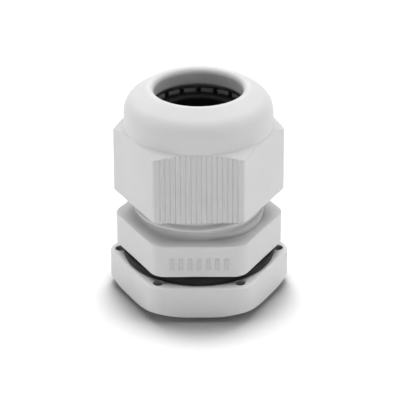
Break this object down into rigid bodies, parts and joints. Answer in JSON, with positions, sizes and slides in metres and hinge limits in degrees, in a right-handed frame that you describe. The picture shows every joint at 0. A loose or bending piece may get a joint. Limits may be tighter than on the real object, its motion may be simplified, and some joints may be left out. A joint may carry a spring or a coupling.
{
  "type": "cable gland",
  "caption": "Nylon cable gland with a domed sealing nut, slotted clamping claws around a rubber seal, a hexagonal body with a threaded entry, a flat gasket and a lock nut.",
  "frame": {"origin": "centre of the entry thread's end face, the lowest point of the gland", "axes": "+Z along the cable towards the dome nut; -Y towards the front, the flange face with the relief mark; +X to the right of it, across two corners of the hexagons"},
  "size_m": [0.0296, 0.0264, 0.0358],
  "materials": {
    "dome_nut_nylon": "satin moulded light grey nylon, ribbed on alternate flats",
    "gland_body_nylon": "satin moulded light grey nylon",
    "lock_nut_nylon": "satin moulded light grey nylon with sink pits",
    "seal_rubber": "matt black rubber",
    "gasket_rubber": "matt black rubber"
  },
  "bodies": {
    "nut": {"lock_nut": "lock_nut_nylon"},
    "washer": {"gasket": "gasket_rubber"},
    "body": {"gland_body": "gland_body_nylon"},
    "seal": {"seal_insert": "seal_rubber"},
    "cap": {"dome_nut": "dome_nut_nylon"}
  },
  "joints": [
    {"name": "dome_nut_turn", "type": "hinge", "parent": "body", "child": "seal", "pos_m": [0, 0, 0.0257], "axis": [0, 0, 1], "range_deg": [-70, 1080]},
    {"name": "dome_nut_travel", "type": "slide", "parent": "seal", "child": "cap", "axis": [0, 0, 1], "range_m": [-0.00035, 0.00526]},
    {"name": "lock_nut_turn", "type": "hinge", "parent": "nut", "child": "washer", "pos_m": [0, 0, 0.00375], "axis": [0, 0, 1], "range_deg": [0, 1800]},
    {"name": "lock_nut_travel", "type": "slide", "parent": "washer", "child": "body", "axis": [0, 0, 1], "range_m": [-0.00001, 0.00751]}
  ],
  "couplings": [
    {"joint": "dome_nut_travel", "follows": "dome_nut_turn", "m_per_rad": 0.00027852},
    {"joint": "lock_nut_travel", "follows": "lock_nut_turn", "m_per_rad": 0.00023873}
  ]
}
